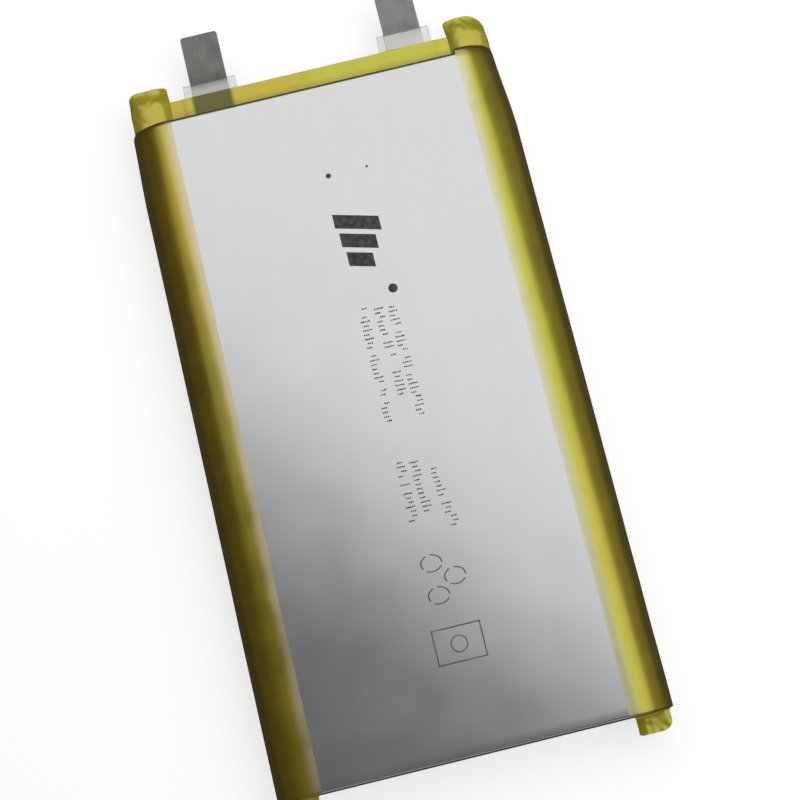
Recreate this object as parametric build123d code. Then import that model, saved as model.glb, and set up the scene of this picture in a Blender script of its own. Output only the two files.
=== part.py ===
from build123d import *
import math
import os

# A wound lithium-ion pouch cell, lying on its back face. All sizes are in millimetres.
# X runs across the width, Y along the length with the two tabs at +Y, and Z up through the thickness.
# The origin is under the middle of the whole cell, on the surface that it lies on.

# Overall sizes, measured over the yellow tape
cell_width = 60.0
cell_thickness = 12.0
body_length = 105.0
terrace_length = 5.0  # the heat-sealed strip at the tab end
tab_reach = 10.3  # how far the tabs stand out of the terrace

# Films and tapes
film = 0.15  # pouch laminate
tape = 0.06  # yellow edge tape
inner_tape = 0.03  # insulating tape on the winding
fold_gap = 0.10  # air between the body and the folded side seal
end_edge_radius = 1.2  # where the faces turn down into the end walls
seal_wing = 4.2  # width of the side seals, folded up against the body
fold_lip = 0.4  # crease where the sheet folds round the bottom end
tape_overlap = 0.8  # how far the side tapes lie on the flat faces
ear_bottom = 3.2  # side tape past the bottom end
ear_top = 2.6  # side tape past the terrace
ear_corner = 1.2

# Tabs and their sealant strips
tab_width = 6.0
tab_thickness = 0.10
tab_offset = 16.0  # tab centres from the middle
sealant = 0.08
sealant_width = 8.6
sealant_inside = 1.6  # sealant reaching into the body
negative_sealant_out = 2.2  # sealant showing past the terrace
positive_sealant_out = 2.9
seal_pocket_gap = 0.1
terrace_tape_gap = 0.1  # between a terrace tape and a side tape
terrace_tape_rise = 2.8  # how far the terrace tapes climb the end wall

# Winding: two spirals half a turn apart, each an electrode with a separator outside it
coating = 0.0625
foil = 0.02
separator = 0.02
layer_gap = 0.005
first_radius = 0.35
half_turns = 30
bare_foil_start = -21.5
coating_start = -9.0
separator_start = 18.0
separator_lead_z = 0.03
anode_end = 12.0
cathode_end = -14.0
inner_separator_end = 20.0
outer_separator_end = -17.0
end_space = 1.0  # between the bottom end wall and the winding
head_space = 3.0  # between the winding and the tab end wall
separator_overhang = 0.75
anode_overhang = 0.75

# Welds inside the winding and the tapes on it
weld_start = 25.0  # from the bottom end wall to the inner ends of the tabs
weld_tape_side = 1.5  # weld tape past each side of a tab
weld_tape_end = 2.0  # weld tape past a tab's inner end
tab_step_start = 0.1  # from the winding to the step in a tab
tab_step_end = 0.2  # from the step to the sealant
end_tape_x = (9.0, 23.0)
end_tape_low = 12.0  # from the bottom end wall
end_tape_high = 14.0  # from the tab end wall

# Positions that follow from the sizes above
mid_z = cell_thickness / 2
body_radius = mid_z - tape
wing_inner = body_radius + fold_gap
wing_outer = wing_inner + 2 * film
flat_half = cell_width / 2 - tape - wing_outer
tape_edge_x = flat_half - tape_overlap
wing_angle = math.degrees(seal_wing / wing_outer)
overall_length = ear_bottom + body_length + terrace_length + tab_reach
bottom_y = ear_bottom - overall_length / 2
top_y = bottom_y + body_length
terrace_y = top_y + terrace_length
tip_y = terrace_y + tab_reach
seal_half = tab_thickness / 2 + sealant
pocket_half = sealant_width / 2 + seal_pocket_gap
layer = 2 * coating + foil + separator + 2 * layer_gap
separator_low_y = bottom_y + end_space
separator_high_y = top_y - head_space
electrode_sides = {"negative": -1, "positive": 1}
far = 2 * cell_width  # larger than anything here


def section_plane(y):
    # Local X is X and local Y is Z, measured from the mid-plane of the cell
    return Plane(origin=(0, y, mid_z), x_dir=(1, 0, 0), z_dir=(0, -1, 0))


def prism(sketch, low_y, high_y):
    return extrude(section_plane(high_y) * sketch, amount=high_y - low_y)


def block(low, high):
    # A box between two corners, with Z measured from the mid-plane
    size = [b - a for a, b in zip(low, high)]
    middle = [(a + b) / 2 for a, b in zip(low, high)]
    return Pos(middle[0], middle[1], middle[2] + mid_z) * Box(*size)


def layered(side, low, high, thickness, start=0.0):
    # A block on one side of the mid-plane, from start out to thickness
    near, outer = sorted((side * start, side * thickness))
    return block((*low, near), (*high, outer))


def half_space(side):
    return layered(side, (-far, -far), (far, far), far)


def mirrored(shape):
    return mirror(shape, about=Plane.YZ)


def polar(radius, angle):
    # A point round the centre line of the right-hand rounded side
    turn = math.radians(angle)
    return (flat_half + radius * math.cos(turn), radius * math.sin(turn))


def body_block(inset):
    slot = SlotCenterToCenter(2 * flat_half, 2 * (body_radius - inset))
    solid = prism(slot, bottom_y + inset, top_y - inset)
    ends = solid.faces().sort_by(Axis.Y)
    rims = ends[0].edges() + ends[-1].edges()
    return fillet(rims, end_edge_radius - inset)


def arc_band(inner, outer, low_angle, high_angle):
    inside = CenterArc((flat_half, 0), inner, low_angle, high_angle - low_angle)
    outside = CenterArc((flat_half, 0), outer, low_angle, high_angle - low_angle)
    caps = [Line(inside @ 0, outside @ 0), Line(inside @ 1, outside @ 1)]
    return make_face([inside, outside, *caps])


# The pouch


def side_seal(side, inner, outer):
    # One film's share of the right-hand seal: out along the mid-plane, then folded up against the body
    shelf = layered(side, (flat_half + body_radius - film, bottom_y), (flat_half + outer, terrace_y), film)
    return shelf + prism(arc_band(inner, outer, 0, wing_angle), bottom_y, terrace_y)


def pouch_half(side, inner, outer):
    # side is 1 for the front half and -1 for the back half
    shell = (body_block(0) - body_block(film)) & half_space(side)
    seal = side_seal(side, inner, outer)
    half = shell + seal + mirrored(seal)
    terrace_half = flat_half + body_radius
    half += layered(side, (-terrace_half, top_y - film), (terrace_half, terrace_y), film)
    half += layered(side, (-flat_half, bottom_y - fold_lip), (flat_half, bottom_y + film), film)
    for hand in electrode_sides.values():
        x = hand * tab_offset
        raised = pocket_half + film
        half += layered(side, (x - raised, top_y - film), (x + raised, terrace_y), film + seal_half)
    for hand in electrode_sides.values():
        x = hand * tab_offset
        half -= layered(side, (x - pocket_half, top_y - head_space), (x + pocket_half, terrace_y), seal_half)
    return half


# The yellow tapes


def wrapped_side(lift):
    # Outline of the tape drawn tight round the right-hand side, lifted off the films by lift
    body = body_radius + lift
    wing = wing_outer + lift
    slack = math.degrees(math.acos(body_radius / wing_outer))
    high = wing_angle + slack
    shelf_corner = (flat_half + wing_outer, -film)
    shelf_angle = math.degrees(math.atan2(film, wing_outer))
    low = -shelf_angle - math.degrees(math.acos(body_radius / math.hypot(wing_outer, film)))
    tip = polar(wing_outer, wing_angle)
    points = [(tape_edge_x, body), (flat_half, body)]
    edges = [Line(*points), CenterArc((flat_half, 0), body, 90, high - 90)]
    rising = polar(body, high)
    if lift:
        turned = math.radians(high)
        tip_high = (tip[0] + lift * math.cos(turned), tip[1] + lift * math.sin(turned))
        edges += [Line(rising, tip_high), Line(tip_high, polar(wing, wing_angle))]
    else:
        edges += [Line(rising, tip)]
    edges += [CenterArc((flat_half, 0), wing, wing_angle, -wing_angle)]
    corner = (shelf_corner[0] + lift, shelf_corner[1])
    edges += [Line((flat_half + wing, 0), corner)]
    if lift:
        turned = math.radians(low)
        corner_low = (shelf_corner[0] + lift * math.cos(turned), shelf_corner[1] + lift * math.sin(turned))
        edges += [Line(corner, corner_low)]
        corner = corner_low
    edges += [Line(corner, polar(body, low)), CenterArc((flat_half, 0), body, low, -90 - low)]
    edges += [Line((flat_half, -body), (tape_edge_x, -body))]
    return edges


def side_tape(pouch):
    inner, outer = wrapped_side(0), wrapped_side(tape)
    caps = [Line(inner[0] @ 0, outer[0] @ 0), Line(inner[-1] @ 1, outer[-1] @ 1)]
    strip = prism(make_face([*inner, *outer, *caps]), bottom_y, top_y)
    inside = make_face([*outer, Line(outer[0] @ 0, outer[-1] @ 1)])
    for low_y, high_y in ((bottom_y - tape, bottom_y), (top_y, top_y + tape)):
        strip += prism(inside, low_y, high_y)
    ear = block((tape_edge_x, bottom_y - ear_bottom, -tape), (flat_half + body_radius, bottom_y, tape))
    strip += fillet(ear.edges().filter_by(Axis.Z).group_by(Axis.Y)[0], ear_corner)
    thick = film + tape
    ear = block((tape_edge_x, top_y, -thick), (flat_half + wing_outer + tape, terrace_y + ear_top, thick))
    strip += fillet(ear.edges().filter_by(Axis.Z).group_by(Axis.Y)[-1], ear_corner)
    cover = arc_band(wing_inner - tape, wing_outer + tape, 0, wing_angle + math.degrees(tape / wing_outer))
    strip += prism(cover, top_y, terrace_y + ear_top / 2)
    for half in pouch:
        strip -= half
    return strip.solids().sort_by(SortBy.VOLUME)[-1]


def terrace_tape(side, pouch):
    # Flat on the terrace, over the raised tab seals and a little way up the end wall
    half_width = tape_edge_x - terrace_tape_gap
    cover = layered(side, (-half_width, top_y), (half_width, terrace_y), film + tape, film)
    cover += layered(side, (-half_width, top_y), (half_width, top_y + tape), terrace_tape_rise, film)
    for hand in electrode_sides.values():
        x = hand * tab_offset
        raised = pocket_half + film + tape
        cover += layered(side, (x - raised, top_y), (x + raised, terrace_y), film + seal_half + tape, film)
    return cover - pouch


# The winding


def winding_edges(radius, start_x, turns, end_x, lead_z=None, rest_radius=None):
    # Straight runs and half circles whose radius grows by one layer each half turn
    edges = []
    here = (start_x, radius - layer / 2)
    if lead_z is not None:
        lead_centre = (lead_z + rest_radius - layer / 2) / 2
        lead_radius = here[1] - lead_centre
        low = (-flat_half, lead_centre - lead_radius)
        edges += [Line((start_x, low[1]), low)]
        here = (-flat_half, here[1])
        edges += [ThreePointArc(low, (-flat_half - lead_radius, lead_centre), here)]
    for turn in range(turns):
        side = 1 if turn % 2 == 0 else -1
        grown = radius + turn * layer
        centre = -side * layer / 2
        arrive = (side * flat_half, centre + side * grown)
        leave = (side * flat_half, centre - side * grown)
        edges += [Line(here, arrive)]
        edges += [ThreePointArc(arrive, (side * (flat_half + grown), centre), leave)]
        here = leave
    return edges + [Line(here, (end_x, here[1]))]


def wound_face(low, high, start_x, turns, end_x, lead_z=None):
    # low and high are the sheet's distances outside the first layer's inner face
    middle = first_radius + (low + high) / 2
    inside = winding_edges(first_radius + low, start_x, turns, end_x, lead_z, middle)
    outside = winding_edges(first_radius + high, start_x, turns, end_x, lead_z, middle)
    caps = [Line(inside[0] @ 0, outside[0] @ 0), Line(inside[-1] @ 1, outside[-1] @ 1)]
    return make_face([*inside, *outside, *caps])


def separator_sheet(turns, end_x):
    low = electrode_layer + layer_gap
    return wound_face(low, low + separator, separator_start, turns, end_x, separator_lead_z)


def electrode(name, turns, end_x):
    core = coating + foil
    made = {
        f"{name}_coating_inner": (0, coating, coating_start, end_x),
        f"{name}_foil": (coating, core, bare_foil_start, end_x),
        f"{name}_coating_outer": (core, core + coating, coating_start, end_x),
    }
    return {node: wound_face(low, high, start, turns, end) for node, (low, high, start, end) in made.items()}


def tab(hand, inner_z):
    # A straight strip with a shallow step between the winding and the sealed terrace
    half = tab_thickness / 2
    step_low = separator_high_y + tab_step_start
    step_high = top_y - sealant_inside - tab_step_end
    line = [(weld_low_y, inner_z), (step_low, inner_z), (step_high, 0), (tip_y, 0)]
    points = [(y, z - half) for y, z in line] + [(y, z + half) for y, z in reversed(line)]
    plane = Plane(origin=(hand * tab_offset, 0, mid_z), x_dir=(0, 1, 0), z_dir=(1, 0, 0))
    return extrude(plane * make_face(Polyline(*points, close=True)), amount=tab_width / 2, both=True)


def strip_block(x_range, y_range, z_range):
    return block(*zip(x_range, y_range, z_range))


cathode_y = (separator_low_y + separator_overhang + anode_overhang,
             separator_high_y - separator_overhang - anode_overhang)
anode_y = (separator_low_y + separator_overhang, separator_high_y - separator_overhang)
separator_y = (separator_low_y, separator_high_y)
weld_low_y = bottom_y + weld_start
foil_face_z = first_radius - layer / 2 + coating  # inner face of the first run of foil
electrode_layer = 2 * coating + foil

parts = {}
back = pouch_half(-1, wing_inner + film, wing_outer)
front = pouch_half(1, wing_inner, wing_inner + film) - back
parts["pouch_front_half"] = front
parts["pouch_back_half"] = back
right_tape = side_tape((front, back))
parts["side_tape_right"] = right_tape
parts["side_tape_left"] = mirrored(right_tape)
parts["terrace_tape_front"] = terrace_tape(1, front)
parts["terrace_tape_back"] = terrace_tape(-1, back)

# The anode spiral starts on the upper run; the cathode spiral is turned half a turn about Y
for node, face in electrode("anode", half_turns, anode_end).items():
    parts[node] = prism(face, *anode_y)
parts["separator_inner"] = prism(separator_sheet(half_turns, inner_separator_end), *separator_y)
half_a_turn = Rot(0, 0, 180)
for node, face in electrode("cathode", half_turns - 1, cathode_end).items():
    parts[node] = prism(half_a_turn * face, *cathode_y)
outer_sheet = half_a_turn * separator_sheet(half_turns - 1, outer_separator_end)
parts["separator_outer"] = prism(outer_sheet, *separator_y)

# The tabs lie on the bare foil in the middle of the winding, with tape over each weld
sealant_out = {"negative": negative_sealant_out, "positive": positive_sealant_out}
weld_tape_half = tab_width / 2 + weld_tape_side
for name, hand in electrode_sides.items():
    side = -hand  # the negative tab is above the mid-plane and the positive tab below it
    parts[f"{name}_tab"] = tab(hand, side * (foil_face_z - tab_thickness / 2))
    x = hand * tab_offset
    x_range = (x - weld_tape_half, x + weld_tape_half)
    y_range = (weld_low_y - weld_tape_end, cathode_y[1])
    tab_face_z = foil_face_z - tab_thickness
    under = sorted((side * (tab_face_z - inner_tape), side * tab_face_z))
    over = sorted((side * (foil_face_z + foil), side * (foil_face_z + foil + inner_tape)))
    parts[f"{name}_weld_tape_inner"] = strip_block(x_range, y_range, under)
    parts[f"{name}_weld_tape_outer"] = strip_block(x_range, y_range, over)
    x_range = (x - sealant_width / 2, x + sealant_width / 2)
    y_range = (top_y - sealant_inside, terrace_y + sealant_out[name])
    for place, face_side in (("front", 1), ("back", -1)):
        z_range = sorted((face_side * tab_thickness / 2, face_side * seal_half))
        parts[f"{name}_tab_sealant_{place}"] = strip_block(x_range, y_range, z_range)

# Tape that holds the outer end of the winding
winding_top = first_radius + (half_turns - 0.5) * layer + electrode_layer + layer_gap + separator
end_tape_y = (bottom_y + end_tape_low, top_y - end_tape_high)
parts["winding_end_tape"] = strip_block(end_tape_x, end_tape_y, (winding_top, winding_top + inner_tape))

os.makedirs("parts", exist_ok=True)
for node, shape in parts.items():
    shape.label = node
    export_step(shape, f"parts/{node}.step")
    print(node, len(shape.solids()), round(shape.volume, 2))
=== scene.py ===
import math
import random

import bpy
from mathutils import Matrix, Vector, noise


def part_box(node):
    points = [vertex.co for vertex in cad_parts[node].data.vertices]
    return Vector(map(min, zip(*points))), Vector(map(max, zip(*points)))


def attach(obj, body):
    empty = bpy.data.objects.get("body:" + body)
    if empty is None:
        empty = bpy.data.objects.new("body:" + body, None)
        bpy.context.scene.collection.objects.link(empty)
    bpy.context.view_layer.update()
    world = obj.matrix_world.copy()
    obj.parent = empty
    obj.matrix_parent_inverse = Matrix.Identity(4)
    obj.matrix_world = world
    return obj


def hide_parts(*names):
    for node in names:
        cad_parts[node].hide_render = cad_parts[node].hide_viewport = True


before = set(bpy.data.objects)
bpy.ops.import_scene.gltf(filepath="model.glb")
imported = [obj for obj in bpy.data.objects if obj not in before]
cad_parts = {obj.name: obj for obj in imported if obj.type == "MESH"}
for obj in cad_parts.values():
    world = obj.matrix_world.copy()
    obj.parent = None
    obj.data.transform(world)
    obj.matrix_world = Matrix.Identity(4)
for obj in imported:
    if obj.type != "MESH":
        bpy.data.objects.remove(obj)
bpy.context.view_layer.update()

mm = 0.001

# Places that every piece shares, read from the frame
tapeLow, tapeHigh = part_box("side_tape_right")
filmLow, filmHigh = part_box("pouch_front_half")
terraceLow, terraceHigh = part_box("terrace_tape_front")
midZ = filmLow.z
bodyRadius = filmHigh.z - midZ
halfWidth = tapeHigh.x
tapeEdge = tapeLow.x
topY = terraceLow.y
terraceY = terraceHigh.y
sealLip = 0.4 * mm  # how far the sealed film stands past the bottom end
bottomY = filmLow.y + sealLip
earBottomY = tapeLow.y
earTopY = tapeHigh.y


def smoothStep(low, high, value):
    t = min(1.0, max(0.0, (value - low) / (high - low)))
    return t * t * (3 - 2 * t)


def mix(a, b, t):
    return a + (b - a) * t


def ripple(x, y, z, size, seed=0.0):
    return noise.noise(Vector((x / size + seed, y / size - seed, z / size + 0.5 * seed)))


def doubleRipple(x, y, broad, fine, broadSeed, fineSeed):
    return ripple(x, y, 0, broad, broadSeed) + 0.4 * ripple(x, y, 0, fine, fineSeed)


def spread(low, high, count):
    return [mix(low, high, i / (count - 1)) for i in range(count)]


def resample(points, count):
    lengths = [0.0]
    for a, b in zip(points, points[1:]):
        lengths.append(lengths[-1] + math.dist(a, b))
    made, place = [], 0
    for wanted in spread(0.0, lengths[-1], count):
        while place < len(points) - 2 and lengths[place + 1] < wanted:
            place += 1
        step = lengths[place + 1] - lengths[place]
        t = 0.0 if step == 0 else (wanted - lengths[place]) / step
        made.append(tuple(mix(a, b, t) for a, b in zip(points[place], points[place + 1])))
    return made


def morph(sectionA, sectionB, t):
    return [tuple(mix(a, b, t) for a, b in zip(p, q)) for p, q in zip(sectionA, sectionB)]


def relax(points, passes):
    for _ in range(passes):
        middle = [
            tuple(0.25 * a + 0.5 * b + 0.25 * c for a, b, c in zip(p, q, r))
            for p, q, r in zip(points, points[1:], points[2:])
        ]
        points = [points[0], *middle, points[-1]]
    return points


def addMesh(name, patches):
    # Each patch is a list of rows of points, all the same length
    points, faces = [], []
    for rows in patches:
        width, start = len(rows[0]), len(points)
        for row in rows:
            points.extend(row)
        for i in range(len(rows) - 1):
            for j in range(width - 1):
                a = start + i * width + j
                faces.append((a, a + 1, a + width + 1, a + width))
    mesh = bpy.data.meshes.new(name)
    mesh.from_pydata([tuple(p) for p in points], [], faces)
    mesh.shade_smooth()
    piece = bpy.data.objects.new(name, mesh)
    bpy.context.scene.collection.objects.link(piece)
    return piece


def mirrorRows(rows):
    return [[(-x, y, z) for x, y, z in reversed(row)] for row in rows]


def flipRows(rows):
    # The same surface under the mid-plane, still facing outwards
    return [[(x, y, 2 * midZ - z) for x, y, z in reversed(row)] for row in rows]


def thicken(piece, thickness, rounded=0.0, segments=1):
    solid = piece.modifiers.new("thickness", "SOLIDIFY")
    solid.thickness = thickness
    solid.offset = -1
    solid.use_even_offset = False
    if rounded:
        edge = piece.modifiers.new("rounded edge", "BEVEL")
        edge.width = rounded
        edge.segments = segments
        edge.harden_normals = True
        edge.limit_method = "ANGLE"
        edge.angle_limit = math.radians(50)


def finishPiece(piece, material, slotName, *nodes):
    piece.data.materials.clear()
    piece.data.materials.append(material)
    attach(piece, "root")
    if nodes:
        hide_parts(*nodes)


def addNode(tree, kind, **values):
    node = tree.nodes.new(kind)
    for name, value in values.items():
        setattr(node, name, value)
    return node


def feed(tree, value, socket):
    # A number or a colour is set on the socket, and anything else is linked to it
    if isinstance(value, (int, float)):
        socket.default_value = value
    elif isinstance(value, tuple):
        socket.default_value = (*value, 1.0)
    else:
        tree.links.new(value, socket)


def setInputs(node, values):
    for name, value in values.items():
        node.inputs[name].default_value = value


def newGroup(name, inputs, outputs):
    group = bpy.data.node_groups.new(name, "ShaderNodeTree")
    for label, default in inputs.items():
        socket = group.interface.new_socket(label, in_out="INPUT", socket_type="NodeSocketFloat")
        socket.default_value = default
    for label in outputs:
        group.interface.new_socket(label, in_out="OUTPUT", socket_type="NodeSocketFloat")
    return group, addNode(group, "NodeGroupInput"), addNode(group, "NodeGroupOutput")


def placeIn(tree, start, lengthwise=1.0):
    # Object coordinates in millimetres, stretched along the cell where lengthwise is below 1
    coords = addNode(tree, "ShaderNodeTexCoord")
    mapping = addNode(tree, "ShaderNodeMapping")
    setInputs(mapping, {"Scale": (1000, 1000 * lengthwise, 1000), "Location": start})
    tree.links.new(coords.outputs["Object"], mapping.inputs["Vector"])
    return mapping.outputs["Vector"]


def noiseOf(tree, vector, scale, detail, roughness=0.5):
    texture = addNode(tree, "ShaderNodeTexNoise")
    setInputs(texture, {"Detail": detail, "Roughness": roughness})
    tree.links.new(vector, texture.inputs["Vector"])
    feed(tree, scale, texture.inputs["Scale"])
    return texture.outputs["Fac"]


def mathOf(tree, operation, *values, clamp=False):
    node = addNode(tree, "ShaderNodeMath", operation=operation, use_clamp=clamp)
    for value, socket in zip(values, node.inputs):
        feed(tree, value, socket)
    return node.outputs[0]


def timesOf(tree, a, b):
    return mathOf(tree, "MULTIPLY", a, b)


def rangeOf(tree, value, low, high, toLow=0.0, toHigh=1.0):
    node = addNode(tree, "ShaderNodeMapRange", clamp=True)
    setInputs(node, {"From Min": low, "From Max": high, "To Min": toLow, "To Max": toHigh})
    tree.links.new(value, node.inputs["Value"])
    return node.outputs["Result"]


def blendOf(tree, factor, colourA, colourB, mode="MIX"):
    node = addNode(tree, "ShaderNodeMix", data_type="RGBA", blend_type=mode)
    # Sockets 6 and 7 are the two colours, and output 2 is the mixed colour
    for value, socket in ((factor, 0), (colourA, 6), (colourB, 7)):
        feed(tree, value, node.inputs[socket])
    return node.outputs[2]


def makeBlotches():
    # Slow, cloudy change over a surface, with small specks on top
    inputs = {"Cloud Scale": 0.15, "Speck Scale": 3.0, "Speck Amount": 0.5}
    group, entry, out = newGroup("cloudyFilm", inputs, ("Cloud", "Specks"))
    place = placeIn(group, (3.1, 1.7, 0.4))
    cloud = noiseOf(group, place, entry.outputs["Cloud Scale"], 4)
    speckle = noiseOf(group, place, entry.outputs["Speck Scale"], 2)
    specks = timesOf(group, rangeOf(group, speckle, 0.66, 0.74), entry.outputs["Speck Amount"])
    group.links.new(cloud, out.inputs["Cloud"])
    group.links.new(specks, out.inputs["Specks"])
    return group


def makeRolledGrain():
    # Fine lines along the length, as on rolled strip and foil
    inputs = {"Line Density": 9.0, "Wander": 0.35}
    group, entry, out = newGroup("rolledGrain", inputs, ("Lines", "Height"))
    narrow = placeIn(group, (0.0, 0.0, 0.0), 0.02)
    broad = placeIn(group, (5.0, 2.0, 0.0), 0.2)
    lines = noiseOf(group, narrow, entry.outputs["Line Density"], 3, 0.7)
    drift = timesOf(group, noiseOf(group, broad, 0.6, 2), entry.outputs["Wander"])
    total = mathOf(group, "ADD", lines, drift)
    group.links.new(total, out.inputs["Lines"])
    group.links.new(lines, out.inputs["Height"])
    return group


def makeOrangePeel():
    # The fine dimples of a laminated or coated film
    inputs = {"Dimple Scale": 2.2, "Wave Scale": 0.12}
    group, entry, out = newGroup("filmDimples", inputs, ("Height",))
    place = placeIn(group, (0.7, 9.1, 2.0))
    dimples = noiseOf(group, place, entry.outputs["Dimple Scale"], 3, 0.55)
    waves = noiseOf(group, place, entry.outputs["Wave Scale"], 1)
    height = mathOf(group, "ADD", timesOf(group, dimples, 0.12), timesOf(group, waves, 2.0))
    group.links.new(height, out.inputs["Height"])
    return group


def makeGrainyCoating():
    # Pressed powder, as on an electrode
    group, entry, out = newGroup("pressedPowder", {"Grain Scale": 14.0}, ("Grain", "Height"))
    place = placeIn(group, (2.0, 4.0, 8.0))
    grain = noiseOf(group, place, entry.outputs["Grain Scale"], 4, 0.65)
    clumps = noiseOf(group, place, 1.3, 3)
    total = mathOf(group, "ADD", timesOf(group, grain, 0.6), timesOf(group, clumps, 0.4))
    group.links.new(total, out.inputs["Grain"])
    group.links.new(grain, out.inputs["Height"])
    return group


cloudyFilm = makeBlotches()
rolledGrain = makeRolledGrain()
filmDimples = makeOrangePeel()
pressedPowder = makeGrainyCoating()


def newMaterial(name, settings):
    material = bpy.data.materials.new(name)
    material.use_nodes = True
    tree = material.node_tree
    tree.nodes.clear()
    shader = addNode(tree, "ShaderNodeBsdfPrincipled")
    output = addNode(tree, "ShaderNodeOutputMaterial")
    tree.links.new(shader.outputs[0], output.inputs["Surface"])
    setInputs(shader, settings)
    return material, tree, shader


def placeGroup(tree, group, **values):
    node = addNode(tree, "ShaderNodeGroup", node_tree=group)
    for name, value in values.items():
        node.inputs[name].default_value = value
    return node


def addRoughness(tree, shader, mask, low, high):
    # The middle of a mask's values spreads over this range of roughness
    tree.links.new(rangeOf(tree, mask, 0.3, 0.7, low, high), shader.inputs["Roughness"])


def addBump(tree, shader, height, strength, distance):
    bump = addNode(tree, "ShaderNodeBump")
    setInputs(bump, {"Strength": strength, "Distance": distance})
    tree.links.new(height, bump.inputs["Height"])
    tree.links.new(bump.outputs["Normal"], shader.inputs["Normal"])


def objectAxis(tree, axis):
    coords = addNode(tree, "ShaderNodeTexCoord")
    split = addNode(tree, "ShaderNodeSeparateXYZ")
    tree.links.new(coords.outputs["Object"], split.inputs[0])
    return split.outputs[axis]


print("helpers ready")

cameraSet = {
    "place": (-3.50 * mm, -47.68 * mm, 240.51 * mm),
    "target": (1.47 * mm, -5.39 * mm, 12.0 * mm),
    "roll": -7.0,
    "lens": 69.82,
    "sensor": 36.0,
}


def makeCamera():
    data = bpy.data.cameras.new("camera")
    data.lens = cameraSet["lens"]
    data.sensor_width = cameraSet["sensor"]
    data.clip_start = 0.01
    data.clip_end = 20
    camera = bpy.data.objects.new("camera", data)
    bpy.context.scene.collection.objects.link(camera)
    place, target = Vector(cameraSet["place"]), Vector(cameraSet["target"])
    turned = (target - place).to_track_quat("-Z", "Y").to_matrix()
    turned = turned @ Matrix.Rotation(math.radians(cameraSet["roll"]), 3, "Z")
    camera.matrix_world = Matrix.Translation(place) @ turned.to_4x4()
    bpy.context.scene.camera = camera


makeCamera()
print("camera placed")

studio = {
    "floorSize": 6.0,
    "floorColour": (0.86, 0.86, 0.86),
    "floorPale": (0.88, 0.88, 0.88),
    "floorSeenGlow": 0.66,
    "floorDim": (0.14, 0.14, 0.14),
    "worldColour": (0.80, 0.81, 0.82),
    "worldLight": 0.12,
    "keySize": (1.00, 0.42),
    "keyShift": 0.08,
    "keyHeight": 0.40,
    "keyEdge": ((-0.066, 0.073), (0.080, -0.081)),  # the line over which the key light ends
    "keyPower": 1.22,
    "fillPlace": (-0.27, 0.24, 0.40),
    "fillSize": (0.30, 0.36),
    "fillPower": 0.13,
    "sidePlace": (0.62, 0.10, 0.26),
    "sideSize": (0.44, 0.80),
    "sidePower": 0.19,
    "frontPlace": (0.0, -0.60, 0.16),
    "frontSize": (0.90, 0.28),
    "frontPower": 0.30,
}


def addSoftBox(name, size, power, place):
    data = bpy.data.lights.new(name, "AREA")
    data.shape = "RECTANGLE"
    data.size, data.size_y = size
    data.energy = power
    lamp = bpy.data.objects.new(name, data)
    bpy.context.scene.collection.objects.link(lamp)
    lamp.matrix_world = place
    lamp.visible_camera = False


def makeStudio():
    size = studio["floorSize"] / 2
    rows = [[(x, y, 0.0) for x in spread(-size, size, 5)] for y in spread(-size, size, 5)]
    floor = addMesh("floor", [rows])
    material, tree, shader = newMaterial("paleFloor", {"Roughness": 0.9, "Specular IOR Level": 0.1})
    path = addNode(tree, "ShaderNodeLightPath")
    dust = placeGroup(tree, cloudyFilm, **{"Cloud Scale": 0.01, "Speck Scale": 0.3, "Speck Amount": 0.1})
    seen = blendOf(tree, dust.outputs["Cloud"], studio["floorColour"], studio["floorPale"])
    # What the cell mirrors of the floor is dimmer than the floor that is seen
    colour = blendOf(tree, path.outputs["Is Camera Ray"], studio["floorDim"], seen)
    glow = timesOf(tree, path.outputs["Is Camera Ray"], studio["floorSeenGlow"])
    tree.links.new(colour, shader.inputs["Base Color"])
    shader.inputs["Emission Color"].default_value = (1, 1, 1, 1)
    tree.links.new(glow, shader.inputs["Emission Strength"])
    floor.data.materials.append(material)

    world = bpy.data.worlds.new("studioAir")
    bpy.context.scene.world = world
    world.use_nodes = True
    air = world.node_tree
    background = air.nodes["Background"]
    background.inputs["Color"].default_value = (*studio["worldColour"], 1)
    path = addNode(air, "ShaderNodeLightPath")
    air.links.new(rangeOf(air, path.outputs["Is Camera Ray"], 0, 1, studio["worldLight"], 1.0),
                  background.inputs["Strength"])

    # The key light's near edge runs over the cell at a slant, so the face grades from light to dark
    start, end = (Vector((*p, 0)) for p in studio["keyEdge"])
    along = (end - start).normalized()
    across = Vector((-along.y, along.x, 0))
    if across.y < 0:
        across = -across
    centre = (start + end) / 2 + along * studio["keyShift"] + across * studio["keySize"][1] / 2
    centre.z = studio["keyHeight"]
    axes = Matrix((along, across, along.cross(across))).transposed().to_4x4()
    addSoftBox("keyBox", studio["keySize"], studio["keyPower"], Matrix.Translation(centre) @ axes)
    addSoftBox("fillBox", studio["fillSize"], studio["fillPower"], Matrix.Translation(studio["fillPlace"]))
    for name, axis in (("side", "Y"), ("front", "X")):
        upright = Matrix.Translation(studio[name + "Place"]) @ Matrix.Rotation(math.radians(90), 4, axis)
        addSoftBox(name + "Box", studio[name + "Size"], studio[name + "Power"], upright)


makeStudio()
bpy.context.scene.view_settings.view_transform = "Standard"
print("studio lit")

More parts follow.
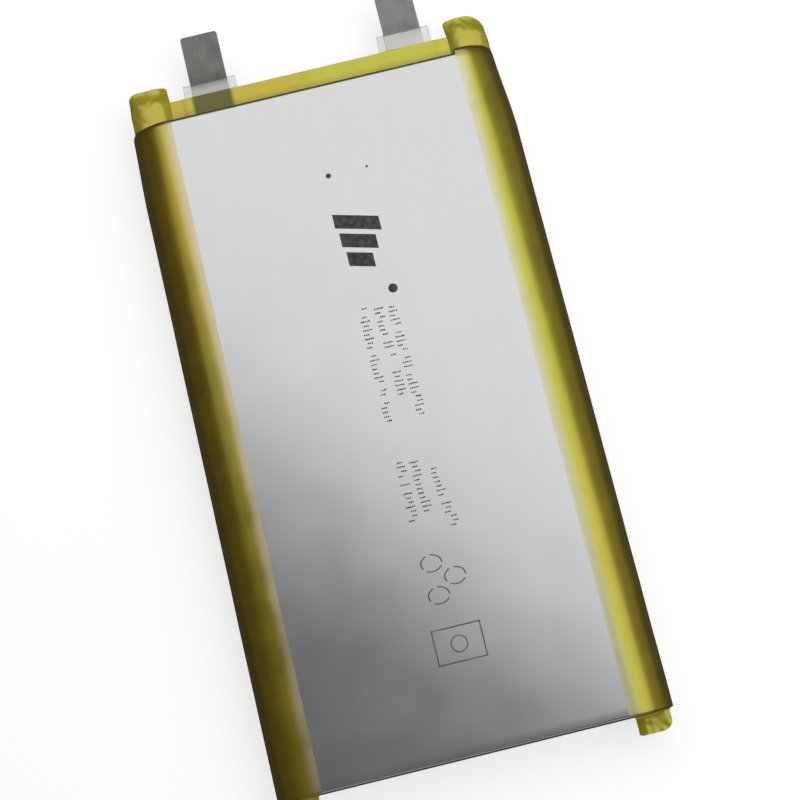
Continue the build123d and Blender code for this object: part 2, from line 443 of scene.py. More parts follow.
filmSet = {
    "thickness": 0.14 * mm,
    "bottomRadius": 0.45 * mm,
    "topRadius": 0.8 * mm,
    "flatHalf": tapeEdge + 0.8 * mm,
    "wallBulge": 0.25 * mm,
    "lipRise": (0.01 * mm, 0.10 * mm),
    # The face's waves: their height, how wide the broad and the fine ones are, and where they fade
    "wave": 0.035 * mm,
    "broadWave": 17 * mm,
    "fineWave": 6 * mm,
    "waveEdge": 0.6,
    "waveEnds": (12 * mm, 8 * mm),
    # The folded seal beside the body, and how it turns in under the tape
    "wingAngles": (28.0, 3.0),
    "wingGap": 0.02 * mm,
    "wingBend": ((0.03 * mm, 0.08 * mm), (0.12 * mm, 0.0)),
    "wingInner": 0.1 * mm,
    "wingStart": 0.7 * mm,
    "wingFine": (1.5 * mm, 1.0 * mm),
    "wingShort": 0.3 * mm,
    "seamFilm": 0.15 * mm,
    "pocketHalf": 4.4 * mm,
    "pocketRise": 0.13 * mm,
    "pocketSlope": 0.5 * mm,
    "tabCentre": 16.0 * mm,
    "colour": (0.74, 0.755, 0.76),
    "cloudColour": (0.70, 0.715, 0.715),
    # Painted reflection of the terrace tape's yellow on the film's top rounded edge
    "topEdgeReflectionColour": (0.46, 0.42, 0.10),
    "speckColour": (0.5, 0.5, 0.48),
    "metallic": 0.92,
    "drawnRough": 0.2,
    "drawnDull": 0.45,
    # The sides draw in towards the tab end
    "shoulder": {"right": 0.13, "left": 0.04},
    "shoulderStart": 13.0 * mm,
    "underEar": 0.14,
    "wingLow": 0.93,
}
flatHalf = filmSet["flatHalf"]


def shoulder(side, y):
    return 1 - filmSet["shoulder"][side] * smoothStep(topY - filmSet["shoulderStart"], topY + 1 * mm, y)


def filmShoulder(side, y):
    # Past the body the film's edge stays well under the ears
    return shoulder(side, y) * (1 - filmSet["underEar"] * smoothStep(topY - 0.2 * mm, topY + 0.8 * mm, y))


def pocketRise(x):
    # The terrace film rides over each tab's sealant
    reach = abs(abs(x) - filmSet["tabCentre"])
    low = filmSet["pocketHalf"]
    return filmSet["pocketRise"] * (1 - smoothStep(low, low + filmSet["pocketSlope"], reach))


def faceWave(x, y):
    # A slow rise and fall of the face, which fades out at its edges
    low, high = filmSet["waveEnds"]
    swell = smoothStep(flatHalf, filmSet["waveEdge"] * flatHalf, abs(x))
    swell *= smoothStep(bottomY, bottomY + low, y) * smoothStep(topY, topY - high, y)
    waves = doubleRipple(x, y, filmSet["broadWave"], filmSet["fineWave"], 4.2, 8.8)
    return filmSet["wave"] * swell * (waves - 0.5)


def filmColumns():
    # (centre, angle) for each column, left to right
    angles = spread(0.0, 90.0, 17)
    left = [(-flatHalf, 180.0 - angle) for angle in angles]
    flat = [(x, 90.0) for x in spread(-flatHalf, flatHalf, 61)[1:-1]]
    right = [(flatHalf, angle) for angle in reversed(angles)]
    return left + flat + right


def filmRow(y, inset, lift, floorRise):
    # One row across the cup; lift goes from 0 on the sealed film to 1 on the face
    row = []
    radius = bodyRadius - inset
    narrow = {1: filmShoulder("right", y), -1: filmShoulder("left", y)}
    for x, angle in filmColumns():
        height = radius
        if abs(x) >= flatHalf:
            turn = math.radians(angle)
            height = radius * math.sin(turn)
            x += radius * math.cos(turn) * narrow[1 if x > 0 else -1]
        pocket = pocketRise(x) if lift < 0.05 and y > 0 else 0.0
        z = max(height * lift, floorRise + pocket) + faceWave(x, y) * lift
        row.append((x, y, midZ + z))
    return row


def roundedRows(endY, way, radius, angles):
    # Over a rounded edge; an angle of 0 is on the end wall and 90 is on the face
    turns = [math.radians(angle) for angle in angles]
    return [filmRow(endY + way * radius * (1 - math.cos(a)), radius * (1 - math.sin(a)), 1.0, 0.0)
            for a in turns]


def filmRows():
    radius, topRadius, seam = filmSet["bottomRadius"], filmSet["topRadius"], filmSet["seamFilm"]
    wallTop = (bodyRadius - radius) / bodyRadius
    # The sealed lip, then the bottom wall, its rounded edge and the face
    rows = [filmRow(bottomY - share * sealLip, 0.4 * radius, 0.0, rise)
            for share, rise in zip((1.0, 0.6), filmSet["lipRise"])]
    for t in spread(0.0, 1.0, 7)[1:-1]:
        bulge = filmSet["wallBulge"] * math.sin(math.pi * t)
        rows.append(filmRow(bottomY - bulge, radius * t, t * wallTop, seam * (1 - t)))
    rows += roundedRows(bottomY, 1, radius, spread(0.0, 90.0, 8))
    rows += [filmRow(y, 0.0, 1.0, 0.0) for y in spread(bottomY + radius, topY - topRadius, 90)[1:-1]]
    # The other rounded edge, the wall at the tab end and the terrace
    rows += roundedRows(topY, -1, topRadius, spread(90.0, 0.0, 8))
    wallTop = (bodyRadius - topRadius) / bodyRadius
    rows += [filmRow(topY, topRadius * t, t * wallTop, seam) for t in spread(1.0, 0.0, 9)[1:]]
    rows += [filmRow(y, 0.0, 0.0, seam) for y in spread(topY, terraceY, 8)[1:]]
    return rows


def wingRows(side, radius, shelfZ):
    # The sealed edge beside the body: up round the wall, and in along the mid-plane
    turns = [math.radians(angle) for angle in spread(*filmSet["wingAngles"], 12)]
    profile = [(flatHalf + radius * math.cos(a), radius * math.sin(a)) for a in turns]
    profile += [(flatHalf + radius - back, shelfZ + up) for back, up in filmSet["wingBend"]]
    profile.append((flatHalf + bodyRadius - filmSet["wingInner"], shelfZ))
    before, after = filmSet["wingFine"]
    places = spread(bottomY + filmSet["wingStart"], topY - before, 50)[:-1]
    places += spread(topY - before, topY + after, 12)
    places += spread(topY + after, terraceY - filmSet["wingShort"], 6)[1:]
    rows = []
    for y in places:
        narrow = filmShoulder(side, y)
        rise = 1 - filmSet["wingLow"] * smoothStep(topY - 0.8 * mm, topY + 0.3 * mm, y)
        rows.append([(flatHalf + (x - flatHalf) * narrow, y, midZ + z * rise) for x, z in profile])
    return rows


def makePouchMaterial():
    material, tree, shader = newMaterial("satinLaminate", {
        "Coat Weight": 0.25, "Coat Roughness": 0.3, "Coat IOR": 1.5, "IOR": 1.5})
    clouds = placeGroup(tree, cloudyFilm, **{"Cloud Scale": 0.09, "Speck Scale": 3.4, "Speck Amount": 0.25})
    grain = placeGroup(tree, rolledGrain, **{"Line Density": 5.0, "Wander": 0.4})
    dimples = placeGroup(tree, filmDimples, **{"Dimple Scale": 2.4, "Wave Scale": 0.10})
    base = blendOf(tree, clouds.outputs["Cloud"], filmSet["cloudColour"], filmSet["colour"])
    lined = rangeOf(tree, grain.outputs["Lines"], 0.2, 1.1, 0.97, 1.02)
    shade = blendOf(tree, 1.0, base, lined, "MULTIPLY")
    # Painted reflection: the yellow of the terrace tape is painted into the rounded edge above it
    edge = rangeOf(tree, objectAxis(tree, "Y"), topY - 0.75 * mm, topY - 0.25 * mm, 0.0, 0.85)
    shade = blendOf(tree, edge, shade, filmSet["topEdgeReflectionColour"])
    dusty = blendOf(tree, timesOf(tree, clouds.outputs["Specks"], 0.35), shade, filmSet["speckColour"])
    tree.links.new(dusty, shader.inputs["Base Color"])
    # Drawing the film down the middle of the end wall has made it dull
    along = objectAxis(tree, "Y")
    height = mathOf(tree, "ABSOLUTE", mathOf(tree, "SUBTRACT", objectAxis(tree, "Z"), midZ))
    wall = rangeOf(tree, along, bottomY, bottomY + 0.04 * mm, 1.0, 0.0)
    wall = timesOf(tree, wall, rangeOf(tree, along, bottomY - 0.30 * mm, bottomY - 0.26 * mm))
    drawn = timesOf(tree, wall, rangeOf(tree, height, 2.6 * mm, 4.0 * mm, 1.0, 0.0))
    rough = mathOf(tree, "ADD", rangeOf(tree, clouds.outputs["Cloud"], 0.3, 0.7, 0.22, 0.27),
                   timesOf(tree, drawn, filmSet["drawnRough"]))
    metal = mathOf(tree, "SUBTRACT", filmSet["metallic"], timesOf(tree, drawn, filmSet["drawnDull"]))
    tree.links.new(rough, shader.inputs["Roughness"])
    tree.links.new(metal, shader.inputs["Metallic"])
    addBump(tree, shader, dimples.outputs["Height"], 0.12, 0.02 * mm)
    return material


def makePouch():
    material = makePouchMaterial()
    cup = filmRows()
    seam = filmSet["seamFilm"]
    frontRadius = bodyRadius + filmSet["wingGap"] + seam
    halves = (
        ("pouchFrontFilm", cup, frontRadius, 0.0, "pouch_front_half"),
        ("pouchBackFilm", flipRows(cup), frontRadius + seam, -seam, "pouch_back_half"),
    )
    for name, body, radius, shelfZ, node in halves:
        wings = [wingRows("right", radius, shelfZ), mirrorRows(wingRows("left", radius, shelfZ))]
        piece = addMesh(name, [body, *wings])
        thicken(piece, filmSet["thickness"])
        finishPiece(piece, material, "pouch_film", node)


makePouch()
print("pouch film made")

tapeSet = {
    "thickness": 0.04 * mm,
    "standOff": 0.06 * mm,
    "around": 72,
    "alongBody": 150,
    # How tightly the tape follows the folded seal, and where the fold's edge is
    "hullShare": 0.3,
    "tipAngle": 38.0,
    "waveAlong": 0.05 * mm,
    "edgeWander": 0.10 * mm,
    "edgeRound": 0.012 * mm,
    "edgeSink": 0.048 * mm,
    # How it turns down over each end of the body
    "clearance": 0.08 * mm,
    "endRound": 1.0 * mm,
    "wallDrift": 0.12 * mm,
    "wallLow": 0.82,
    "bottomSettle": 0.8 * mm,
    "topSettle": 1.3 * mm,
    # The ears: half their thickness at the edges, and how far the slack stands up
    "bottomEar": (0.07 * mm, 0.25 * mm),
    "topEar": (0.32 * mm, 1.0 * mm),
    "topEarTip": (0.08 * mm, 0.55 * mm),
    "topEarOut": 0.1 * mm,
    "topTipStart": 0.6 * mm,
    "earInnerRound": 0.5 * mm,
    "earRipple": 0.20 * mm,
    # The strip over the terrace: its width past the side tapes, and how it folds at the wall
    "terraceWider": 0.6 * mm,
    "terraceWallTop": 2.7 * mm,
    "terraceFold": (0.4 * mm, 0.5 * mm),
    "terraceShort": 0.03 * mm,
    "terraceCrinkle": 0.06 * mm,
    "colour": (0.62, 0.585, 0.040),
    # Deeper tone round the side, with painted shade in it
    "sideShadeColour": (0.50, 0.385, 0.010),
    "paleColour": (0.80, 0.79, 0.56),
    "overTabColour": (0.075, 0.08, 0.006),
    "adhesiveTint": (1.0, 0.86, 0.8),
    "earColour": (0.76, 0.67, 0.022),
    # Painted shade for the creases where the tape leaves the body, and on the terrace next to the face's
    # edge
    "creaseShadeColour": (0.22, 0.16, 0.006),
    "speckColour": (0.5, 0.45, 0.2),
    "creaseShadeShare": 0.62,
    "metallic": 0.85,
    "earDull": 0.5,
}
# Where each ear ends: its inner and outer x, and the radius of its outer corner; slack is how far
# the tape stands past the tab end of the body before it turns down
ears = {
    "right": {"bottom": (24.2, 29.4, 1.8), "top": (22.6, 29.0, 3.2), "slack": 0.7 * mm, "seed": 1.3},
    "left": {"bottom": (23.9, 29.3, 1.6), "top": (22.9, 29.2, 1.4), "slack": 0.0, "seed": 6.1},
}
wingOuter = halfWidth - flatHalf


def arcOf(radius, start, end, count):
    # Points round the middle of a half-round side, between two angles
    return [(flatHalf + radius * math.cos(a), radius * math.sin(a)) for a in spread(start, end, count)]


def bodySection(count):
    # The tape's outline round the body and the folded seal, from its front edge to its back edge
    radius = bodyRadius + tapeSet["standOff"]
    tip = math.radians(tapeSet["tipAngle"])
    lean = math.acos(bodyRadius / wingOuter)
    flat = [(tapeEdge, radius), (mix(tapeEdge, flatHalf, 0.5), radius)]
    tight = arcOf(radius, math.pi / 2, tip + lean, 14) + arcOf(wingOuter, tip, 0.0, 12)
    tight += arcOf(radius, -lean, -math.pi / 2, 18)
    loose = [(flatHalf + wingOuter * math.sin(a), radius * math.cos(a)) for a in spread(0.0, math.pi, 61)]
    middle = morph(resample(loose, 121), resample(tight, 121), tapeSet["hullShare"])
    points = flat + middle + [(x, -z) for x, z in reversed(flat)]
    return resample(relax(resample(points, 4 * count), 10), count)


def pinchedSection(count, inner, outer, lift, crown):
    # Front and back stuck together past the end, with the slack standing up as a low pillow
    across = spread(0.0, 1.0, 24)
    points = [(mix(inner, outer, t), lift + crown * (1 - abs(2 * t - 1) ** 3)) for t in across[:-1]]
    points += [(outer, mix(lift, -lift, t)) for t in spread(0.0, 1.0, 6)]
    points += [(mix(outer, inner, t), -lift) for t in across[1:]]
    return resample(relax(resample(points, 4 * count), 12), count)


def endReach(x, reach, ear):
    # How far an ear goes at this x, with rounded corners
    inner, outer, radius = (value * mm for value in ear)
    small = tapeSet["earInnerRound"]
    over = max(0.0, inner + small - x) / small * 0.5 + max(0.0, x - outer + radius) / radius
    return reach - 0.9 * radius * (1 - math.sqrt(max(0.0, 1 - min(1.0, over) ** 2)))


def tapeRow(section, places, seed, looseness):
    row = []
    for index, ((x, z), y) in enumerate(zip(section, places)):
        t = index / (len(section) - 1)
        fromEdge = min(t, 1 - t)
        side = 1 if t < 0.5 else -1
        edge = 1 - smoothStep(0.0, 0.06, fromEdge)
        wander = tapeSet["edgeWander"] * edge * doubleRipple(0, y, 9 * mm, 2.5 * mm, seed, seed)
        swell = tapeSet["waveAlong"] * (1 - edge) * (ripple(t * 20 * mm, y, 0, 11 * mm, seed + 3) - 0.3)
        swell *= smoothStep(flatHalf, flatHalf + 2 * mm, x) * (1 - looseness)
        out = Vector((x - flatHalf, z)).normalized() if x > flatHalf else Vector((0, side))
        crinkle = doubleRipple(x, y, 1.9 * mm, 0.9 * mm, seed + 7, seed + 9) + 0.25
        lift = side * tapeSet["earRipple"] * looseness * max(0.0, crinkle)
        # The inner edge is pressed down to the face
        lift -= side * tapeSet["edgeSink"] * (1 - smoothStep(0.0, 0.12, fromEdge))
        row.append((x - wander + out.x * swell, y, midZ + z + out.y * swell + lift))
    return row


def narrowed(section, side, y):
    narrow = shoulder(side, y)
    return [(x if x < flatHalf else flatHalf + (x - flatHalf) * narrow, z) for x, z in section]


def diveSteps(radius, settle, slack=0.0):
    # How far past a body end, and how much of the way down to the mid-plane: over the rounded
    # edge, down the end wall and out along the sealed film
    quarter = spread(0.0, math.pi / 2, 9)
    drift, low = tapeSet["wallDrift"], tapeSet["wallLow"]
    steps = [(radius * (math.sin(a) - 1), radius / bodyRadius * (1 - math.cos(a))) for a in quarter]
    steps += [(drift * t, mix(radius / bodyRadius, low, t)) for t in (0.2, 0.4, 0.6, 0.8)]
    steps += [(mix(settle, drift, math.cos(a)), mix(low, 1.0, math.sin(a))) for a in quarter]
    return [(out + tapeSet["clearance"] + slack, share) for out, share in steps]


def endRows(name, place, body, shapes, steps):
    # Rows from the rounded edge of the body to the tip of an ear
    ends = {"top": (topY, earTopY - topY, 1), "bottom": (bottomY, bottomY - earBottomY, -1)}
    endY, reach, way = ends[place]
    ear, seed = ears[name][place], ears[name]["seed"]
    near, far, fadeStart = shapes
    rows = []
    last = steps[-1][0]
    for out, share in steps + [(out, 1.0) for out in spread(last, reach, 26)[1:]]:
        settled = morph(near, far, smoothStep(fadeStart, reach, out))
        shape = morph(narrowed(body, name, endY + way * out), settled, share)
        places = [endY + way * out * (1 if out < 0 else endReach(x, reach, ear) / reach) for x, _ in shape]
        rows.append(tapeRow(shape, places, seed, smoothStep(tapeSet["wallLow"], 1.0, share)))
    return rows


def sideTapeRows(name):
    count, ear = tapeSet["around"], ears[name]
    body = bodySection(count)
    inner, outer = (value * mm for value in ear["bottom"][:2])
    flat = pinchedSection(count, inner, outer, *tapeSet["bottomEar"])
    inner, outer = (value * mm for value in ear["top"][:2])
    pillow = pinchedSection(count, tapeEdge, outer + tapeSet["topEarOut"], *tapeSet["topEar"])
    pillowTip = pinchedSection(count, inner, outer, *tapeSet["topEarTip"])
    bottomSteps = diveSteps(filmSet["bottomRadius"], tapeSet["bottomSettle"])
    topSteps = diveSteps(tapeSet["endRound"], tapeSet["topSettle"], ear["slack"])
    rows = endRows(name, "bottom", body, (flat, flat, 0.0), bottomSteps)[::-1]
    start, end = bottomY - bottomSteps[0][0], topY + topSteps[0][0]
    for y in spread(start, end, tapeSet["alongBody"])[1:-1]:
        rows.append(tapeRow(narrowed(body, name, y), [y] * count, ear["seed"], 0.0))
    tipStart = terraceY - topY - tapeSet["topTipStart"]
    return rows + endRows(name, "top", body, (pillow, pillowTip, tipStart), topSteps)


# A band of painted shade round a crease, full near it and fading out over the given half width
def creaseShadeBand(tree, along, place, half):
    reach = mathOf(tree, "ABSOLUTE", mathOf(tree, "SUBTRACT", along, place))
    return rangeOf(tree, reach, 0.3 * half, half, 1.0, 0.0)


def makeTapeMaterial():
    material, tree, shader = newMaterial("yellowTapeOnFoil", {
        "Coat Weight": 1.0, "Coat Roughness": 0.16, "Coat IOR": 1.5, "IOR": 1.5})
    clouds = placeGroup(tree, cloudyFilm, **{"Cloud Scale": 0.22, "Speck Scale": 4.0, "Speck Amount": 0.3})
    dimples = placeGroup(tree, filmDimples, **{"Dimple Scale": 3.0, "Wave Scale": 0.35})
    along, across = objectAxis(tree, "Y"), mathOf(tree, "ABSOLUTE", objectAxis(tree, "X"))
    # Nearly clear where it lies on the flat face, and deeper in colour round the side: partly the tape's
    # own deeper tone, partly painted shade where the side curves away from the light
    sideShadeMask = rangeOf(tree, across, tapeEdge + 2.2 * mm, tapeEdge + 4.2 * mm)
    base = blendOf(tree, sideShadeMask, tapeSet["colour"], tapeSet["sideShadeColour"])
    onSide = rangeOf(tree, across, tapeEdge - 0.2 * mm, tapeEdge)
    pale = timesOf(tree, rangeOf(tree, across, tapeEdge, tapeEdge + 1.9 * mm, 1.0, 0.0), onSide)
    base = blendOf(tree, pale, base, tapeSet["paleColour"])
    cloudy = rangeOf(tree, clouds.outputs["Cloud"], 0.3, 0.7, 0.90, 1.08)
    base = blendOf(tree, 1.0, base, cloudy, "MULTIPLY")
    # The left tape has more adhesive under it, which makes it a little warmer
    left = rangeOf(tree, objectAxis(tree, "X"), 1 * mm, -1 * mm)
    base = blendOf(tree, left, base, blendOf(tree, 1.0, base, tapeSet["adhesiveTint"], "MULTIPLY"))
    pastTop = rangeOf(tree, along, topY + 0.6 * mm, topY + 1.4 * mm)
    pastBottom = rangeOf(tree, along, bottomY, bottomY - 0.8 * mm)
    past = mathOf(tree, "ADD", pastTop, pastBottom, clamp=True)
    ear = timesOf(tree, past, onSide)
    base = blendOf(tree, ear, base, tapeSet["earColour"])
    # Painted shade in the crease where the tape leaves the body
    creaseShades = mathOf(tree, "ADD",
                     creaseShadeBand(tree, along, bottomY - 0.1 * mm, 0.5 * mm),
                     creaseShadeBand(tree, along, topY + 0.1 * mm, 1.3 * mm), clamp=True)
    # Painted shade: on the terrace the tape is darker next to the face's edge
    nearFaceShade = rangeOf(tree, along, topY + 2.2 * mm, topY + 3.2 * mm, 1.0, 0.0)
    nearFaceShade = timesOf(tree, mathOf(tree, "SUBTRACT", 1.0, onSide), nearFaceShade)
    # Both painted shades together, the crease shade only on the side tapes
    paintedShade = mathOf(tree, "MAXIMUM", timesOf(tree, creaseShades, onSide), timesOf(tree, nearFaceShade, 0.6))
    base = blendOf(tree, timesOf(tree, paintedShade, tapeSet["creaseShadeShare"]), base, tapeSet["creaseShadeColour"])
    # The left tab shows dark through it
    tabReach = mathOf(tree, "ABSOLUTE", mathOf(tree, "SUBTRACT", across, filmSet["tabCentre"]))
    overTab = timesOf(tree, rangeOf(tree, tabReach, 2.9 * mm, 3.5 * mm, 1.0, 0.0), past)
    leftOnly = rangeOf(tree, objectAxis(tree, "X"), -1 * mm, 1 * mm, 0.92, 0.0)
    base = blendOf(tree, timesOf(tree, overTab, leftOnly), base, tapeSet["overTabColour"])
    base = blendOf(tree, timesOf(tree, clouds.outputs["Specks"], 0.1), base, tapeSet["speckColour"])
    metal = mathOf(tree, "SUBTRACT", tapeSet["metallic"], timesOf(tree, ear, tapeSet["earDull"]))
    tree.links.new(base, shader.inputs["Base Color"])
    tree.links.new(metal, shader.inputs["Metallic"])
    addRoughness(tree, shader, clouds.outputs["Cloud"], 0.29, 0.39)
    addBump(tree, shader, dimples.outputs["Height"], 0.08, 0.02 * mm)
    return material


def terraceTapeRows():
    edge, standOff = tapeEdge + tapeSet["terraceWider"], tapeSet["standOff"]
    lift = filmSet["seamFilm"] + standOff
    foldOut, foldUp = tapeSet["terraceFold"]
    columns = spread(-edge, edge, 121)
    rows = []
    # Down the wall, and then out over the terrace
    for t in spread(0.0, 1.0, 8):
        rows.append([(x, topY + standOff,
                      midZ + mix(tapeSet["terraceWallTop"], lift + pocketRise(x) + foldUp, t))
                     for x in columns])
    for t in spread(0.0, 1.0, 18):
        row = []
        for x in columns:
            y = mix(topY + foldOut, terraceY - tapeSet["terraceShort"], t)
            crinkle = tapeSet["terraceCrinkle"] * (1 - abs(2 * t - 1))
            z = lift + pocketRise(x) + crinkle * (0.5 + ripple(x, y, 0, 2.2 * mm, 6.0))
            row.append((x, y + 0.06 * mm * ripple(x, 0, 0, 4 * mm, 2.0) * t, midZ + z))
        rows.append(row)
    return rows


def makeTapes():
    material = makeTapeMaterial()
    right, left, front = sideTapeRows("right"), sideTapeRows("left"), terraceTapeRows()
    tapes = (
        ("sideTapeRight", right, "side_tape_right"),
        ("sideTapeLeft", mirrorRows(left), "side_tape_left"),
        ("terraceTapeFront", front, "terrace_tape_front"),
        ("terraceTapeBack", flipRows(front), "terrace_tape_back"),
    )
    for name, rows, node in tapes:
        piece = addMesh(name, [rows])
        thicken(piece, tapeSet["thickness"], tapeSet["edgeRound"])
        finishPiece(piece, material, "yellow_tape", node)


makeTapes()
print("tapes made")

tabSet = {
    "thickness": 0.1 * mm,
    "edgeRound": 0.035 * mm,
    "roll": 0.012 * mm,
    "cornerCut": 0.25 * mm,
    "cornerLength": 0.5 * mm,
    "step": (2.9 * mm, 1.8 * mm),  # before the tab end of the body
    "sealThickness": 0.07 * mm,
    "sealBead": 0.02 * mm,
    "sealWander": 0.12 * mm,
    "negativeColour": (0.205, 0.20, 0.187),
    "positiveColour": (0.262, 0.262, 0.266),
    "rootColour": (0.13, 0.125, 0.115),
    "rootLength": 2.4 * mm,
    "rootStart": 2.2 * mm,
    "speckColour": (0.25, 0.24, 0.22),
    "sealColour": (0.93, 0.90, 0.86),
    "sealPale": (0.95, 0.94, 0.92),
    # How solid the film looks beside a tab, and over it next to the terrace and further out
    "sealBeside": 0.14,
    "sealOver": {"left": (0.62, 0.10), "right": (0.92, 0.80)},
}


def tabRows(low, high, rise):
    # Top surface of a strip that steps from the winding up or down to the sealed terrace
    stepLow, stepHigh = (topY - back for back in tabSet["step"])
    places = spread(low.y, stepLow, 30)[:-1] + spread(stepLow, stepHigh, 8)[:-1]
    rows = []
    for y in places + spread(stepHigh, high.y, 50):
        z = mix(rise, midZ, smoothStep(stepLow, stepHigh, y)) + tabSet["thickness"] / 2
        near = smoothStep(high.y - tabSet["cornerLength"], high.y, y)
        corner = tabSet["cornerCut"] * (1 - math.sqrt(max(0.0, 1 - near ** 2)))
        roll = tabSet["roll"] * smoothStep(topY, terraceY + 3 * mm, y)
        rows.append([(mix(low.x + corner, high.x - corner, t), y,
                      z + roll * ripple(t * 6 * mm, y, 0, 3.5 * mm, 3.0))
                     for t in spread(0.0, 1.0, 19)])
    return rows


def makeTabMaterial(name, colour, warmth):
    material, tree, shader = newMaterial(name, {"Metallic": 1.0})
    grain = placeGroup(tree, rolledGrain, **{"Line Density": 7.0, "Wander": 0.5})
    clouds = placeGroup(tree, cloudyFilm, **{"Cloud Scale": 0.5, "Speck Scale": 4.5, "Speck Amount": 0.6})
    start = terraceY + tabSet["rootStart"]
    root = rangeOf(tree, objectAxis(tree, "Y"), start, start + tabSet["rootLength"], 0.75 * warmth, 0.0)
    lined = rangeOf(tree, grain.outputs["Lines"], 0.3, 1.0, 0.82, 1.1)
    base = blendOf(tree, 1.0, colour, lined, "MULTIPLY")
    base = blendOf(tree, root, base, tabSet["rootColour"])
    base = blendOf(tree, timesOf(tree, clouds.outputs["Specks"], 0.5), base, tabSet["speckColour"])
    tree.links.new(base, shader.inputs["Base Color"])
    addRoughness(tree, shader, clouds.outputs["Cloud"], 0.30, 0.46)
    addBump(tree, shader, grain.outputs["Height"], 0.4, 0.02 * mm)
    return material


def makeSealMaterial():
    material, tree, shader = newMaterial("clearSealFilm", {
        "Metallic": 0.45, "IOR": 1.5, "Coat Weight": 0.4, "Coat Roughness": 0.2})
    # Nearly clear beside the tab, and milky where it is melted onto the metal
    along, side = objectAxis(tree, "Y"), objectAxis(tree, "X")
    left, right = (rangeOf(tree, along, terraceY + 0.8 * mm, terraceY + 2.1 * mm, *tabSet["sealOver"][name])
                   for name in ("left", "right"))
    isRight = rangeOf(tree, side, -1 * mm, 1 * mm)
    over = mathOf(tree, "ADD", timesOf(tree, right, isRight),
                  timesOf(tree, left, mathOf(tree, "SUBTRACT", 1.0, isRight)))
    reach = mathOf(tree, "SUBTRACT", mathOf(tree, "ABSOLUTE", side), filmSet["tabCentre"])
    beside = rangeOf(tree, mathOf(tree, "ABSOLUTE", reach), 2.9 * mm, 3.1 * mm)
    alpha = mathOf(tree, "ADD", timesOf(tree, over, mathOf(tree, "SUBTRACT", 1.0, beside)),
                   timesOf(tree, beside, tabSet["sealBeside"]))
    tree.links.new(alpha, shader.inputs["Alpha"])
    clouds = placeGroup(tree, cloudyFilm, **{"Cloud Scale": 0.8, "Speck Scale": 5.0, "Speck Amount": 0.4})
    dimples = placeGroup(tree, filmDimples, **{"Dimple Scale": 4.0, "Wave Scale": 0.8})
    base = blendOf(tree, clouds.outputs["Cloud"], tabSet["sealColour"], tabSet["sealPale"])
    tree.links.new(base, shader.inputs["Base Color"])
    addRoughness(tree, shader, clouds.outputs["Cloud"], 0.3, 0.5)
    addBump(tree, shader, dimples.outputs["Height"], 0.4, 0.03 * mm)
    return material


def sealRows(low, high, seed):
    rows = []
    for t in spread(0.0, 1.0, 24):
        row = []
        for u in spread(0.0, 1.0, 31):
            x = mix(low.x, high.x, u)
            y = mix(low.y, high.y, t) + t * tabSet["sealWander"] * (ripple(x, 0, 0, 1.6 * mm, seed) - 0.6)
            bead = tabSet["sealBead"] * (smoothStep(0.1, 0.0, u) + smoothStep(0.9, 1.0, u))
            row.append((x, y, high.z + bead * smoothStep(terraceY, terraceY + 0.5 * mm, y)))
        rows.append(row)
    return rows


def makeTabs():
    seal = makeSealMaterial()
    aluminium = makeTabMaterial("rolledAluminium", tabSet["positiveColour"], 0.5)
    nickel = makeTabMaterial("rolledNickel", tabSet["negativeColour"], 1.0)
    half = tabSet["thickness"] / 2
    for name, material, slotName, seed in (
            ("positive", aluminium, "aluminium_tab", 2.0), ("negative", nickel, "nickel_tab", 5.0)):
        low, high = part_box(f"{name}_tab")
        inner = low.z + half if name == "positive" else high.z - half
        piece = addMesh(f"{name}Tab", [tabRows(low, high, inner)])
        thicken(piece, tabSet["thickness"], tabSet["edgeRound"], 2)
        finishPiece(piece, material, slotName, f"{name}_tab")
        for place in ("front", "back"):
            node = f"{name}_tab_sealant_{place}"
            low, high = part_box(node)
            if place == "front":
                rows = sealRows(low, high, seed)
            else:
                rows = flipRows(sealRows(low, Vector((high.x, high.y, 2 * midZ - low.z)), 9.0))
            film = addMesh(f"{name}TabSeal{place.capitalize()}", [rows])
            thicken(film, tabSet["sealThickness"])
            finishPiece(film, seal, "tab_sealant", node)


makeTabs()
print("tabs made")

printSet = {
    "inkHeight": 0.012 * mm,
    "inkThickness": 0.01 * mm,
    "dot": 0.13 * mm,
    "pitch": 0.29 * mm,
    "inkColour": (0.035, 0.04, 0.045),
    "fadedColour": (0.16, 0.17, 0.18),
    # From here on in millimetres, except for shares of a ring
    # Each line of tick marks: where it starts, its length and how far it leans
    "lines": (
        (3.6, 8.9, 18.4, 0.6), (1.6, 9.1, 14.8, 0.5), (-0.8, 9.6, 18.4, 0.0),
        (3.6, -16.6, 9.6, 1.6), (1.2, -15.0, 8.3, 0.5), (-0.8, -14.6, 10.0, 0.0),
    ),
    "tickPitch": 0.68,
    "tickGaps": 0.12,
    "tickSlip": (0.02, 0.03),
    "loops": ((0.2, -30.2), (3.2, -32.7), (0.2, -35.0)),
    "loopRadius": 1.55,
    "loopSquash": 0.8,
    "panel": (-2.2, -39.9, 5.0, -45.0),
    "panelRing": 1.2,
    "spots": ((-1.0, 31.4, 0.42), (5.1, 31.5, 0.2), (4.5, 11.7, 0.75)),
    "bars": {"count": 3, "left": -1.9, "top": 25.2, "pitch": 3.15, "height": 2.25, "lean": 0.27,
             "length": 6.9, "shorter": 1.5, "shift": 0.4},
}


def faceHeight(x, y):
    return filmHigh.z + faceWave(x, y) + printSet["inkHeight"]


def addDot(x, y, radius, points, faces):
    z, start = faceHeight(x, y), len(points)
    turns = [2 * math.pi * i / 10 for i in range(10)]
    points.extend((x + radius * math.cos(a), y + radius * math.sin(a), z) for a in turns)
    faces.append(tuple(range(start, len(points))))


def tickDots(chance):
    # Which of a tick's dots are printed: a full tick, either half or a short one
    return chance.choice((range(5), range(5), range(3), range(2, 5), range(1, 4)))


